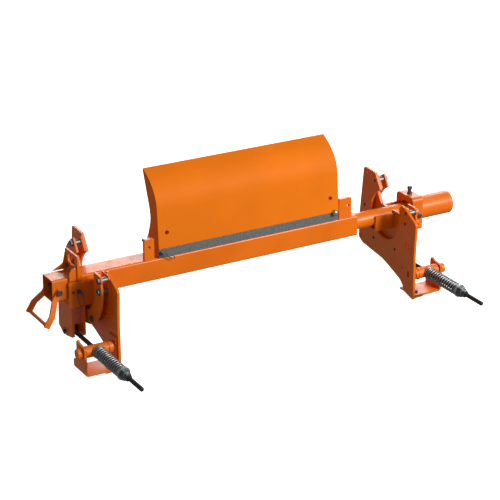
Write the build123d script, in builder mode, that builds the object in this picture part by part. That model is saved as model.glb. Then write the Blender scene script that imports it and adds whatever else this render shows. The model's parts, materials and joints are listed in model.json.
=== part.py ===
"""Conveyor belt scraper with two spring tensioners, in millimetres.

The origin is the pivot axis at the middle of the belt. X runs along the tube, -Y points to the springs, Z is up.
"""
import math
import os

from build123d import *

os.makedirs("parts", exist_ok=True)

SIDES = {"left": -1, "right": 1}

# square tube, the mandrel inside it and the pipe at the right end
TUBE_SIDE = 100.0
TUBE_WALL = 6.0
TUBE_CORNER = 10.0
TUBE_LEFT = -960.0
TUBE_RIGHT = 562.0
TUBE_HALF = TUBE_SIDE / 2
MANDREL_RADIUS = 38.0
MANDREL_WALL = 6.0
MANDREL_LEFT = -700.0
PIPE_RADIUS = 53.5
PIPE_WALL = 6.0
PIPE_NEAR = 862.0
PIPE_FAR = 1098.0

# blade and its holder
BLADE_HALF = 457.0
HOLDER_TOP = TUBE_HALF + 8.0
FOOT_BACK = -53.0
FOOT_FRONT = 43.0
STRIP_THICKNESS = 6.0
STRIP_TOP = 90.0
BLADE_HOLE_RADIUS = 9.5
BLADE_HOLE_INSET = 42.0
BLADE_HOLE_HEIGHT = 160.0
STUD_X = BLADE_HALF - 22
STUD_RADIUS = 9.0
TAB_THICKNESS = 15.0
TAB_TOP = 146.0
TAB_FRONT = 48.0
TAB_HOLE_RADIUS = 7.0

# ring stations: distances from the middle of the belt to each face
PLATE_IN = 745.0
PLATE_OUT = 757.0
GUIDE_OUT = 763.0
DISC_IN = 769.0
DISC_OUT = 784.0
RING_IN = 790.0
RING_OUT = 799.0
THROAT_RADIUS = 116.0
RING_RADIUS = 188.0
RING_BORE = 122.0
DISC_RADIUS = 150.0
LOBE_RADIUS = 17.0
BOLT_CIRCLE = 167.0
RING_BOLT_ANGLES = (4.0, 122.0, 181.0, 239.0, 303.0)
RING_BOLT_RADIUS = 8.0
SPACER_RADIUS = 13.0
HOLE_PLAY = 0.3
THREAD_PLAY = 0.05
KEY_SLOT = (205.0, -224.0)
LOUVRE_FORWARD = 178.0
LOUVRE_PITCH = 23.0
LOUVRE_HEIGHT = -88.0
LOBE_SPOT = (170.0, 63.0)
RING_BOLT_SPOTS = [
    (BOLT_CIRCLE * math.cos(math.radians(a)), BOLT_CIRCLE * math.sin(math.radians(a)))
    for a in RING_BOLT_ANGLES
] + [LOBE_SPOT]
WALL_HOLE_RADIUS = 6.5
WALL_HOLE_SPOTS = [(-156.0, 163.0), (-194.0, -171.0), (154.0, -207.0)]
# throat opening between the plate's upper end and its front lobe, forward and up from the axis
OPENING = [(0, 0), (-44, 110), (-156, 280), (330, 280), (330, 84), (THROAT_RADIUS, 84), (THROAT_RADIUS, 0)]
HUB_OPENING = [(-66, 30), (-92, 70), (-200, 240), (330, 240), (330, 30)]
# plate outline, forward and up from the axis, with the radius of each corner
PLATE_OUTLINE = [
    ((-182, 185), 14), ((-88, 180), 4), ((-42, 110), 0), ((0, 0), 0), ((THROAT_RADIUS, 0), 0),
    ((THROAT_RADIUS, 80), 18), ((152, 90), 14), ((252, 34), 16), ((245, -125), 0), ((250, -336), 5),
    ((180, -320), 5), ((160, -290), 6), ((138, -271), 6), ((22, -230), 20), ((-12, -221), 20), ((-178, -200), 16),
    ((-212, -180), 14), ((-208, -38), 30),
]

# cradles, levers and lever pins
CRADLE_NEAR = DISC_OUT
CRADLE_FAR = 890.0
CRADLE_INNER = 52.0
CRADLE_OUTER = 62.0
CRADLE_TOP = 30.0
CRADLE_BOTTOM = -85.0
CRADLE_FLOOR = -60.0
ROD_X = 843.0
LEVER_GAP = 40.0
LEVER_THICKNESS = 12.0
PIN_FORWARD = -24.0
PIN_HEIGHT = -226.0
PIN_RADIUS = 8.0
PIN_PLAY = 0.9
LEVER_OUTLINE = [
    ((-52, CRADLE_FLOOR), 0), ((-52, -86), 0), ((-90, -104), 10), ((-96, -222), 10), ((-62, -241), 10),
    ((-20, -246), 10), ((46, -233), 8), ((46, CRADLE_FLOOR), 0),
]

# trunnions, brackets, rods and springs
TRUNNION_FORWARD = 212.0
TRUNNION_RADIUS = 26.0
JOURNAL_RADIUS = 18.0
JOURNAL_PLAY = 0.06
BARREL_NEAR = 772.0
BARREL_FAR = 896.0
EAR_IN = 900.0
EAR_OUT = 911.0
JOURNAL_FAR = 934.0
BRACKET_THICKNESS = 8.0
FOOT_X = 790.0
FOOT_FORWARD = 207.0
FOOT_HOLE_RADIUS = 6.3
BRACKET_BOTTOM = -328.0
BRACKET_BACK = 128.0
BRACKET_FRONT = 242.0
ROD_RADIUS = 10.0
ROD_PLAY = 0.6
ROD_TIP = 638.0
EYE_RADIUS = 20.0
EYE_WIDTH = 36.0
SPRING_START = TRUNNION_FORWARD + 31.0
SPRING_END = 466.0
SPRING_OUTER = 28.0
SPRING_WIRE = 8.0
WASHER_RADIUS = 30.0
WASHER_THICKNESS = 8.0
NUT_FLATS = 41.0
LOCK_NUT_FLATS = 30.0
NUT_HEIGHT = 24.0
THIN_WASHER = 4.0

# yoke on top of the tube's left end
YOKE_X = -841.0
YOKE_THICKNESS = 8.0

# bail handle
HANDLE_X = -932.0
HANDLE_Z = -5.0
HANDLE_SLOPE = 58.0
HANDLE_BAR = 27.0
HANDLE_THICKNESS = 8.0
HANDLE_BEND = 42.0
HANDLE_FLARE = 103.0
HANDLE_REACH = 145.0
HANDLE_HALF = 97.0
GRIP_RADIUS = 8.0

# lock pin on the left cradle, and blade pull pin
LOCK_X = -846.0
LOCK_Z = -16.0
LOCK_RADIUS = 6.0
LOCK_SPARE_X = -870.0
PULL_X = -446.0
PULL_Z = 72.0
PULL_RADIUS = 5.0

# right stop channel and saddle
CHANNEL_HALF = 46.0
SADDLE_NEAR = 856.0
SADDLE_FAR = 912.0
SADDLE_HALF = 68.0
SADDLE_TOP = 80.0
SADDLE_LEG = -76.0
SADDLE_PLATE = 8.0
JACK_X = 882.0
JACK_RADIUS = 8.0
SADDLE_BOLT = (895.0, -10.0)


def across(x):
    """Plane square to the tube at x: local x points forward (-Y), local y points up, extrusion goes to -X."""
    return Plane(origin=(x, 0, 0), x_dir=(0, -1, 0), z_dir=(-1, 0, 0))


def facing(forward):
    """Upright plane along the tube: local x is X, local y is Z, extrusion goes forward (-Y)."""
    return Plane(origin=(0, -forward, 0), x_dir=(1, 0, 0), z_dir=(0, -1, 0))


def level(height):
    """Level plane at a height: local x is X, local y is Y, extrusion goes up."""
    return Plane.XY.offset(height)


def slab(sign, near, far):
    """Plane for a slab between two distances from the belt's middle, on its +X face."""
    return across(far if sign > 0 else -near)


def discs(plane, spots, radius, length, bore=0.0, mode=Mode.ADD):
    """Round bars, or tubes where bore isn't 0, standing on a plane at each spot."""
    with BuildSketch(plane) as section:
        with Locations(*spots):
            Circle(radius)
            if bore:
                Circle(bore, mode=Mode.SUBTRACT)
    extrude(section.sketch, amount=length, mode=mode)


def hexagons(plane, spots, flats, length, bore=0.0):
    """Bolt heads or nuts standing on a plane at each spot."""
    with BuildSketch(plane) as section:
        with Locations(*spots):
            RegularPolygon(flats / 2, 6, major_radius=False)
            if bore:
                Circle(bore, mode=Mode.SUBTRACT)
    extrude(section.sketch, amount=length)


def block(xs, forwards, heights, mode=Mode.ADD):
    """Box between two X values, two forward distances and two heights."""
    size_x = abs(xs[1] - xs[0])
    size_y = abs(forwards[1] - forwards[0])
    size_z = abs(heights[1] - heights[0])
    with Locations((sum(xs) / 2, -sum(forwards) / 2, sum(heights) / 2)):
        Box(size_x, size_y, size_z, mode=mode)


def outline(corners):
    """Closed outline from (point, corner radius) pairs, as a face in the open sketch."""
    with BuildLine() as edge_line:
        FilletPolyline(*[p for p, _ in corners], radius=[r for _, r in corners], close=True)
    make_face(edge_line.edges())


def opening(corners):
    """Cut the region inside the corners out of the sketch."""
    with BuildLine() as edge_line:
        Polyline(*corners, close=True)
    make_face(edge_line.edges(), mode=Mode.SUBTRACT)


def ring_face():
    """Open ring with a front lobe and its bolt holes, in the open sketch."""
    Circle(RING_RADIUS)
    with Locations(LOBE_SPOT):
        Circle(LOBE_RADIUS)
    Circle(RING_BORE, mode=Mode.SUBTRACT)
    opening(OPENING)
    with Locations(*RING_BOLT_SPOTS):
        Circle(RING_BOLT_RADIUS + HOLE_PLAY, mode=Mode.SUBTRACT)


def finish(piece, node):
    """Label a finished piece and write its STEP file."""
    piece.part.label = node
    export_step(piece.part, f"parts/{node}.step")


# ---------------------------------------------------------------- tube, mandrel, right end pipe

with BuildPart() as main_tube:
    with BuildSketch(across(TUBE_RIGHT)):
        RectangleRounded(TUBE_SIDE, TUBE_SIDE, TUBE_CORNER)
        RectangleRounded(
            TUBE_SIDE - 2 * TUBE_WALL, TUBE_SIDE - 2 * TUBE_WALL, TUBE_CORNER - TUBE_WALL, mode=Mode.SUBTRACT
        )
    extrude(amount=TUBE_RIGHT - TUBE_LEFT)
    discs(facing(-TUBE_SIDE), [(HANDLE_X, HANDLE_Z)], PIN_RADIUS + HOLE_PLAY, 2 * TUBE_SIDE, mode=Mode.SUBTRACT)
    discs(facing(0), [(LOCK_X, LOCK_Z)], LOCK_RADIUS + HOLE_PLAY, TUBE_SIDE, mode=Mode.SUBTRACT)
finish(main_tube, "main_tube")

with BuildPart() as mandrel:
    discs(across(PIPE_FAR - 20), [(0, 0)], MANDREL_RADIUS, PIPE_FAR - 20 - MANDREL_LEFT,
          bore=MANDREL_RADIUS - MANDREL_WALL)
finish(mandrel, "mandrel_tube")

with BuildPart() as mandrel_rings:
    for ring_x in (MANDREL_LEFT + 60, 0, TUBE_RIGHT - 30):
        discs(across(ring_x), [(0, 0)], TUBE_HALF - TUBE_WALL - 0.05, 24, bore=MANDREL_RADIUS)
    for ring_x in (PIPE_NEAR + 30, PIPE_FAR - 40):
        discs(across(ring_x), [(0, 0)], PIPE_RADIUS - PIPE_WALL, 16, bore=MANDREL_RADIUS)
finish(mandrel_rings, "mandrel_rings")

with BuildPart() as end_pipe:
    discs(across(PIPE_FAR), [(0, 0)], PIPE_RADIUS, PIPE_FAR - PIPE_NEAR, bore=PIPE_RADIUS - PIPE_WALL)
finish(end_pipe, "end_pipe")

# ---------------------------------------------------------------- blade and holder

with BuildPart() as blade:
    with BuildSketch(across(BLADE_HALF)):
        with BuildLine():
            front_low = Line((FOOT_FRONT + 8, STRIP_TOP + 6), (38, 262))
            Spline((38, 262), (28, 310), (2, 353), (-38, 390), (-88, 420), tangents=[(-0.09, 1), (-0.86, 0.51)])
            Line((-88, 420), (-92, 414))
            Spline((-92, 414), (-74, 362), (-51, 300), (-32, 247), (-27, 214), (-33, 178), (FOOT_BACK, 124))
            Line((FOOT_BACK, 124), (FOOT_BACK, HOLDER_TOP))
            Line((FOOT_BACK, HOLDER_TOP), (FOOT_FRONT, HOLDER_TOP))
            Line((FOOT_FRONT, HOLDER_TOP), (FOOT_FRONT, STRIP_TOP + 1))
            Line((FOOT_FRONT, STRIP_TOP + 1), (FOOT_FRONT + 8, STRIP_TOP + 1))
            Line((FOOT_FRONT + 8, STRIP_TOP + 1), (FOOT_FRONT + 8, STRIP_TOP + 6))
        make_face()
    extrude(amount=2 * BLADE_HALF)
    hole_spots = [(side * (BLADE_HALF - BLADE_HOLE_INSET), BLADE_HOLE_HEIGHT) for side in (-1, 1)]
    discs(facing(-100), hole_spots, BLADE_HOLE_RADIUS, 200, mode=Mode.SUBTRACT)
    discs(facing(0), [(PULL_X, PULL_Z)], PULL_RADIUS + HOLE_PLAY, 100, mode=Mode.SUBTRACT)
finish(blade, "scraper_blade")

with BuildPart() as blade_holder:
    block((-BLADE_HALF, BLADE_HALF), (FOOT_BACK - 8, FOOT_FRONT), (TUBE_HALF, HOLDER_TOP))
    block((-BLADE_HALF, BLADE_HALF), (FOOT_BACK - 8, FOOT_BACK), (HOLDER_TOP, 118))
finish(blade_holder, "blade_holder")

with BuildPart() as retainer_strip:
    block((-BLADE_HALF, BLADE_HALF), (FOOT_FRONT, FOOT_FRONT + STRIP_THICKNESS), (TUBE_HALF, STRIP_TOP))
    discs(facing(0), [(PULL_X, PULL_Z)], PULL_RADIUS + HOLE_PLAY, 100, mode=Mode.SUBTRACT)
finish(retainer_strip, "retainer_strip")

with BuildPart() as strip_stud:
    with Locations((STUD_X, -(FOOT_FRONT + STRIP_THICKNESS + STUD_RADIUS + 3), STRIP_TOP + 5)):
        Sphere(STUD_RADIUS)
    block((STUD_X - 5, STUD_X + 5), (FOOT_FRONT + STRIP_THICKNESS, FOOT_FRONT + STRIP_THICKNESS + 8),
          (STRIP_TOP - 14, STRIP_TOP))
finish(strip_stud, "strip_stud")

with BuildPart() as holder_end_tabs:
    for tab_xs, tab_hole in (((-526, -478), -502), ((BLADE_HALF + 5, 528), 511)):
        block(tab_xs, (TAB_FRONT - TAB_THICKNESS, TAB_FRONT), (TUBE_HALF, TAB_TOP))
        discs(facing(0), [(tab_hole, TAB_TOP - 38)], TAB_HOLE_RADIUS, 100, mode=Mode.SUBTRACT)
    fillet(holder_end_tabs.edges().filter_by(Axis.Y).group_by(Axis.Z)[-1], 6)
finish(holder_end_tabs, "holder_end_tabs")

with BuildPart() as tab_bolts:
    for bolt_x in (-516, -490):
        hexagons(facing(16), [(bolt_x, TAB_TOP - 10)], 13, 7)
        discs(facing(20), [(bolt_x, TAB_TOP - 10)], 4, TAB_FRONT - TAB_THICKNESS - 20)
finish(tab_bolts, "tab_bolts")

# ---------------------------------------------------------------- ring stations, one at each side

for side, sign in SIDES.items():

    with BuildPart() as mounting_plate:
        with BuildSketch(slab(sign, PLATE_IN, PLATE_OUT)):
            outline(PLATE_OUTLINE)
            Circle(THROAT_RADIUS, mode=Mode.SUBTRACT)
            with Locations(*RING_BOLT_SPOTS):
                Circle(RING_BOLT_RADIUS + HOLE_PLAY, mode=Mode.SUBTRACT)
            with Locations(*WALL_HOLE_SPOTS):
                Circle(WALL_HOLE_RADIUS, mode=Mode.SUBTRACT)
            with Locations(KEY_SLOT):
                SlotOverall(34, 15, rotation=90, mode=Mode.SUBTRACT)
            with Locations(*[(LOUVRE_FORWARD + LOUVRE_PITCH * n, LOUVRE_HEIGHT - 7 * n) for n in range(3)]):
                SlotOverall(38, 8, rotation=84, mode=Mode.SUBTRACT)
        extrude(amount=PLATE_OUT - PLATE_IN)
        block((sign * PLATE_OUT, sign * 812), (186, 236), (BRACKET_BOTTOM - 8, BRACKET_BOTTOM))
        discs(level(BRACKET_BOTTOM - 20), [(sign * FOOT_X, -FOOT_FORWARD)], FOOT_HOLE_RADIUS, 30, mode=Mode.SUBTRACT)
    finish(mounting_plate, f"{side}_mounting_plate")

    with BuildPart() as guide_ring:
        with BuildSketch(slab(sign, PLATE_OUT, GUIDE_OUT)):
            ring_face()
        extrude(amount=GUIDE_OUT - PLATE_OUT)
    finish(guide_ring, f"{side}_guide_ring")

    with BuildPart() as retaining_ring:
        with BuildSketch(slab(sign, RING_IN, RING_OUT)):
            ring_face()
        extrude(amount=RING_OUT - RING_IN)
    finish(retaining_ring, f"{side}_retaining_ring")

    with BuildPart() as ring_spacers:
        discs(slab(sign, GUIDE_OUT, RING_IN), RING_BOLT_SPOTS, SPACER_RADIUS, RING_IN - GUIDE_OUT,
              bore=RING_BOLT_RADIUS + HOLE_PLAY)
    finish(ring_spacers, f"{side}_ring_spacers")

    with BuildPart() as ring_bolts:
        discs(slab(sign, PLATE_IN, RING_OUT), RING_BOLT_SPOTS, RING_BOLT_RADIUS, RING_OUT - PLATE_IN)
        hexagons(slab(sign, RING_OUT, RING_OUT + 10), RING_BOLT_SPOTS, 24, 10)
        discs(slab(sign, PLATE_IN - 1, PLATE_IN + 5), RING_BOLT_SPOTS, 4.5, 6, mode=Mode.SUBTRACT)
    finish(ring_bolts, f"{side}_ring_bolts")

    with BuildPart() as spring_bracket:
        bottom = BRACKET_BOTTOM
        block((sign * PLATE_OUT, sign * (PLATE_OUT + BRACKET_THICKNESS)), (BRACKET_BACK + 40, BRACKET_FRONT - 4),
              (bottom, -180))
        block((sign * PLATE_OUT, sign * EAR_OUT), (BRACKET_BACK, BRACKET_FRONT), (bottom, bottom + 9))
        with BuildSketch(slab(sign, EAR_IN, EAR_OUT)):
            outline([
                ((BRACKET_BACK, bottom), 0), ((BRACKET_FRONT, bottom), 0), ((BRACKET_FRONT, -200), 8),
                ((184, -192), 6), ((168, -182), 4), ((160, -196), 4), ((160, -270), 8), ((BRACKET_BACK, -284), 8),
            ])
        extrude(amount=EAR_OUT - EAR_IN)
        corner = spring_bracket.edges().filter_by(Axis.Y).group_by(Axis.Z)[0].sort_by(Axis.X)
        fillet(corner[-1] if sign > 0 else corner[0], 18)
        bore_plane = slab(sign, PLATE_IN, EAR_OUT + 10)
        discs(bore_plane, [(TRUNNION_FORWARD, PIN_HEIGHT)], JOURNAL_RADIUS + JOURNAL_PLAY, 220, mode=Mode.SUBTRACT)
        discs(level(bottom - 20), [(sign * FOOT_X, -FOOT_FORWARD)], FOOT_HOLE_RADIUS, 40, mode=Mode.SUBTRACT)
    finish(spring_bracket, f"{side}_spring_bracket")

    with BuildPart() as trunnion:
        spot = [(TRUNNION_FORWARD, PIN_HEIGHT)]
        discs(slab(sign, PLATE_OUT + 1, JOURNAL_FAR), spot, JOURNAL_RADIUS, JOURNAL_FAR - PLATE_OUT - 1)
        discs(slab(sign, BARREL_NEAR, BARREL_FAR), spot, TRUNNION_RADIUS, BARREL_FAR - BARREL_NEAR)
        discs(slab(sign, BARREL_NEAR + 14, BARREL_NEAR + 20), spot, TRUNNION_RADIUS + 2.5, 6)
        discs(slab(sign, EAR_OUT + 2, JOURNAL_FAR), spot, TRUNNION_RADIUS - 4, JOURNAL_FAR - EAR_OUT - 2)
        discs(facing(TRUNNION_FORWARD - 40), [(sign * ROD_X, PIN_HEIGHT)], ROD_RADIUS + ROD_PLAY, 80,
              mode=Mode.SUBTRACT)
        block((sign * (ROD_X - 31), sign * (ROD_X + 31)), (TRUNNION_FORWARD + 22, TRUNNION_FORWARD + 40),
              (PIN_HEIGHT - 40, PIN_HEIGHT + 40), mode=Mode.SUBTRACT)
    finish(trunnion, f"{side}_trunnion")

    with BuildPart() as seat_washer:
        discs(facing(TRUNNION_FORWARD + 22), [(sign * ROD_X, PIN_HEIGHT)], WASHER_RADIUS,
              SPRING_START - TRUNNION_FORWARD - 22, bore=ROD_RADIUS + ROD_PLAY)
    finish(seat_washer, f"{side}_seat_washer")

    with BuildPart() as tension_rod:
        spot = [(PIN_FORWARD, PIN_HEIGHT)]
        discs(facing(PIN_FORWARD + 12), [(sign * ROD_X, PIN_HEIGHT)], ROD_RADIUS, ROD_TIP - PIN_FORWARD - 12)
        discs(slab(sign, ROD_X - EYE_WIDTH / 2, ROD_X + EYE_WIDTH / 2), spot, EYE_RADIUS, EYE_WIDTH)
        discs(slab(sign, ROD_X - EYE_WIDTH, ROD_X + EYE_WIDTH), spot, PIN_RADIUS + PIN_PLAY, 2 * EYE_WIDTH,
              mode=Mode.SUBTRACT)
        chamfer(tension_rod.faces().sort_by(Axis.Y)[0].edges(), 2)
    finish(tension_rod, f"{side}_tension_rod")

    rod_spot = [(sign * ROD_X, PIN_HEIGHT)]
    with BuildPart() as spring:
        discs(facing(SPRING_START), rod_spot, SPRING_OUTER, SPRING_END - SPRING_START,
              bore=SPRING_OUTER - SPRING_WIRE)
    finish(spring, f"{side}_spring")

    washer_end = SPRING_END + WASHER_THICKNESS
    nut_end = washer_end + NUT_HEIGHT
    with BuildPart() as end_washer:
        discs(facing(SPRING_END), rod_spot, WASHER_RADIUS, WASHER_THICKNESS, bore=ROD_RADIUS + THREAD_PLAY)
    finish(end_washer, f"{side}_end_washer")

    with BuildPart() as adjusting_nut:
        hexagons(facing(washer_end), rod_spot, NUT_FLATS, NUT_HEIGHT, bore=ROD_RADIUS + THREAD_PLAY)
    finish(adjusting_nut, f"{side}_adjusting_nut")

    with BuildPart() as lock_washer:
        discs(facing(nut_end), rod_spot, 18, THIN_WASHER, bore=ROD_RADIUS + THREAD_PLAY)
    finish(lock_washer, f"{side}_lock_washer")

    with BuildPart() as lock_nut:
        hexagons(facing(nut_end + THIN_WASHER), rod_spot, LOCK_NUT_FLATS, 16, bore=ROD_RADIUS + THREAD_PLAY)
    finish(lock_nut, f"{side}_lock_nut")

    with BuildPart() as hub_disc:
        with BuildSketch(slab(sign, DISC_IN, DISC_OUT)):
            Circle(DISC_RADIUS)
            opening(HUB_OPENING)
            if sign < 0:
                Rectangle(TUBE_SIDE + 2 * HOLE_PLAY, TUBE_SIDE + 2 * HOLE_PLAY, mode=Mode.SUBTRACT)
            else:
                Circle(MANDREL_RADIUS, mode=Mode.SUBTRACT)
        extrude(amount=DISC_OUT - DISC_IN)
    finish(hub_disc, f"{side}_hub_disc")

    with BuildPart() as cradle:
        span = (sign * CRADLE_NEAR, sign * CRADLE_FAR)
        if sign < 0:
            block(span, (CRADLE_INNER, CRADLE_OUTER), (CRADLE_BOTTOM, CRADLE_TOP))
            block(span, (-CRADLE_OUTER, -CRADLE_INNER), (CRADLE_BOTTOM, CRADLE_TOP))
            block(span, (-CRADLE_INNER, CRADLE_INNER), (CRADLE_FLOOR, -TUBE_HALF))
            discs(facing(0), [(LOCK_X, LOCK_Z), (LOCK_SPARE_X, LOCK_Z)], LOCK_RADIUS + HOLE_PLAY, 100,
                  mode=Mode.SUBTRACT)
        else:
            short = (CRADLE_NEAR, SADDLE_NEAR)
            block(short, (CRADLE_INNER, CRADLE_OUTER), (CRADLE_BOTTOM, -4))
            block(short, (-CRADLE_OUTER, -CRADLE_INNER), (CRADLE_BOTTOM, CRADLE_TOP))
            block(span, (-CRADLE_INNER, CRADLE_INNER), (CRADLE_FLOOR, -PIPE_RADIUS))
            block(short, (-CRADLE_INNER, CRADLE_INNER), (-PIPE_RADIUS, -MANDREL_RADIUS))
    finish(cradle, f"{side}_cradle")

    with BuildPart() as lever_plates:
        for near in (ROD_X - LEVER_GAP / 2 - LEVER_THICKNESS, ROD_X + LEVER_GAP / 2):
            with BuildSketch(slab(sign, near, near + LEVER_THICKNESS)):
                outline(LEVER_OUTLINE)
                with Locations((PIN_FORWARD, PIN_HEIGHT)):
                    Circle(PIN_RADIUS, mode=Mode.SUBTRACT)
            extrude(amount=LEVER_THICKNESS)
    finish(lever_plates, f"{side}_lever_plates")

with BuildPart() as bracket_bolts:
    for sign in SIDES.values():
        spot = [(sign * FOOT_X, -FOOT_FORWARD)]
        discs(level(BRACKET_BOTTOM - 22), spot, 6, 32)
        hexagons(level(BRACKET_BOTTOM + 9), spot, 19, 8)
        hexagons(level(BRACKET_BOTTOM - 18), spot, 19, 10)
finish(bracket_bolts, "bracket_bolts")

PIN_HEAD_FACE = ROD_X - LEVER_GAP / 2 - LEVER_THICKNESS
PIN_END = ROD_X + LEVER_GAP / 2 + LEVER_THICKNESS + 12
with BuildPart() as lever_pins:
    for sign in SIDES.values():
        spot = [(PIN_FORWARD, PIN_HEIGHT)]
        discs(slab(sign, PIN_HEAD_FACE, PIN_END), spot, PIN_RADIUS, PIN_END - PIN_HEAD_FACE)
        discs(slab(sign, PIN_HEAD_FACE - 6, PIN_HEAD_FACE), spot, 13, 6)
        discs(level(PIN_HEIGHT - 20), [(sign * (PIN_END - 5), -PIN_FORWARD)], 2.4, 40, mode=Mode.SUBTRACT)
finish(lever_pins, "lever_pins")

with BuildPart() as split_pins:
    for sign in SIDES.values():
        discs(level(PIN_HEIGHT - 15), [(sign * (PIN_END - 5), -PIN_FORWARD)], 2.2, 27)
        discs(across(sign * (PIN_END - 5) + 2), [(PIN_FORWARD, PIN_HEIGHT + 15)], 5, 4, bore=2)
finish(split_pins, "lever_split_pins")

# ---------------------------------------------------------------- left end

with BuildPart() as yoke:
    with BuildSketch(across(YOKE_X)):
        outline([
            ((-60, TUBE_HALF), 0), ((-60, 143), 10), ((64, 143), 10), ((64, CRADLE_TOP + 4), 2),
            ((TUBE_HALF, CRADLE_TOP + 4), 0), ((TUBE_HALF, TUBE_HALF), 0),
        ])
        with Locations((4, 108)):
            RectangleRounded(72, 40, 16, mode=Mode.SUBTRACT)
    extrude(amount=YOKE_THICKNESS)
    with BuildSketch(facing(TUBE_HALF)):
        outline([
            ((-884, CRADLE_TOP + 4), 0), ((-820, CRADLE_TOP + 4), 2), ((YOKE_X + 2, 92), 4), ((-872, 88), 12),
            ((-884, 72), 4),
        ])
    extrude(amount=8)
    with BuildSketch(facing(-TUBE_HALF - 8)):
        outline([
            ((-910, TUBE_HALF), 0), ((-820, TUBE_HALF), 2), ((YOKE_X + 2, 124), 4), ((-851, 124), 2),
            ((-862, 76), 16),
        ])
    extrude(amount=8)
finish(yoke, "left_yoke")

with BuildPart() as yoke_bolts:
    for bolt_spot in ((-34, 74), (32, 74)):
        hexagons(across(YOKE_X - YOKE_THICKNESS), [bolt_spot], 17, 8)
finish(yoke_bolts, "yoke_bolts")

with BuildPart() as handle_bolts:
    discs(facing(-66), [(HANDLE_X, HANDLE_Z)], PIN_RADIUS - 0.05, 132)
    hexagons(facing(59), [(HANDLE_X, HANDLE_Z)], 24, 8)
    hexagons(facing(-67), [(HANDLE_X, HANDLE_Z)], 24, 8)
finish(handle_bolts, "handle_bolts")

handle_down = Vector(-math.cos(math.radians(HANDLE_SLOPE)), 0, -math.sin(math.radians(HANDLE_SLOPE)))
handle_square = Vector(math.sin(math.radians(HANDLE_SLOPE)), 0, -math.cos(math.radians(HANDLE_SLOPE)))
handle_low = Vector(HANDLE_X, 0, HANDLE_Z) - handle_square * (HANDLE_BAR / 2)
handle_plane = Plane(origin=handle_low, x_dir=handle_down, z_dir=handle_square)
ARM_IN = 50.5
ARM_OUT = ARM_IN + HANDLE_THICKNESS

with BuildPart() as bail_handle:
    with BuildSketch(handle_plane):
        for side_y in (-1, 1):
            with BuildLine():
                Polyline(
                    (-12, side_y * ARM_IN), (HANDLE_BEND, side_y * ARM_IN),
                    (HANDLE_FLARE, side_y * (HANDLE_HALF - 8)), (HANDLE_REACH + 9, side_y * (HANDLE_HALF - 8)),
                    (HANDLE_REACH + 9, side_y * HANDLE_HALF), (HANDLE_FLARE - 3, side_y * HANDLE_HALF),
                    (HANDLE_BEND - 3, side_y * ARM_OUT), (-12, side_y * ARM_OUT), close=True,
                )
            make_face()
    extrude(amount=HANDLE_BAR)
    grip_centre = Vector(HANDLE_X, 0, HANDLE_Z) + handle_down * HANDLE_REACH
    discs(facing(-HANDLE_HALF + 8), [(grip_centre.X, grip_centre.Z)], GRIP_RADIUS, 2 * HANDLE_HALF - 16)
    discs(facing(-100), [(HANDLE_X, HANDLE_Z)], PIN_RADIUS + 0.02, 200, mode=Mode.SUBTRACT)
finish(bail_handle, "bail_handle")

with BuildPart() as lock_pin:
    discs(facing(40), [(LOCK_X, LOCK_Z)], LOCK_RADIUS, 46)
    discs(facing(CRADLE_OUTER + 0.5), [(LOCK_X, LOCK_Z)], 10, 6)
finish(lock_pin, "lock_pin")

with BuildPart() as lock_clip:
    with BuildSketch(facing(CRADLE_OUTER + 12)):
        with Locations((LOCK_X + 5, LOCK_Z - 29)):
            SlotOverall(76, 25, rotation=82)
            SlotOverall(69, 18, rotation=82, mode=Mode.SUBTRACT)
    extrude(amount=3.5)
    discs(facing(40), [(LOCK_X, LOCK_Z)], LOCK_RADIUS, 60, mode=Mode.SUBTRACT)
finish(lock_clip, "lock_pin_clip")

with BuildPart() as pull_pin:
    discs(facing(14), [(PULL_X, PULL_Z)], PULL_RADIUS, 50)
    discs(facing(FOOT_FRONT + STRIP_THICKNESS + 0.5), [(PULL_X, PULL_Z)], 9, 6)
finish(pull_pin, "blade_pull_pin")

with BuildPart() as pull_tail:
    with BuildSketch(facing(64)):
        with Locations((PULL_X + 28, PULL_Z - 11)):
            SlotOverall(76, 11, rotation=-22)
            SlotOverall(70, 5, rotation=-22, mode=Mode.SUBTRACT)
    extrude(amount=3)
finish(pull_tail, "blade_pin_hairpin")

# ---------------------------------------------------------------- right end

with BuildPart() as stop_channel:
    stop_span = (666, DISC_IN)
    block(stop_span, (CHANNEL_HALF - 12, CHANNEL_HALF), (-44, 20))
    block(stop_span, (-CHANNEL_HALF, 12 - CHANNEL_HALF), (-44, 20))
    block(stop_span, (-CHANNEL_HALF, CHANNEL_HALF), (-52, -44))
    block((stop_span[1] - 12, stop_span[1]), (-CHANNEL_HALF, CHANNEL_HALF), (-44, 20))
    discs(across(780), [(0, 0)], MANDREL_RADIUS, 140, mode=Mode.SUBTRACT)
finish(stop_channel, "right_stop_channel")

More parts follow.
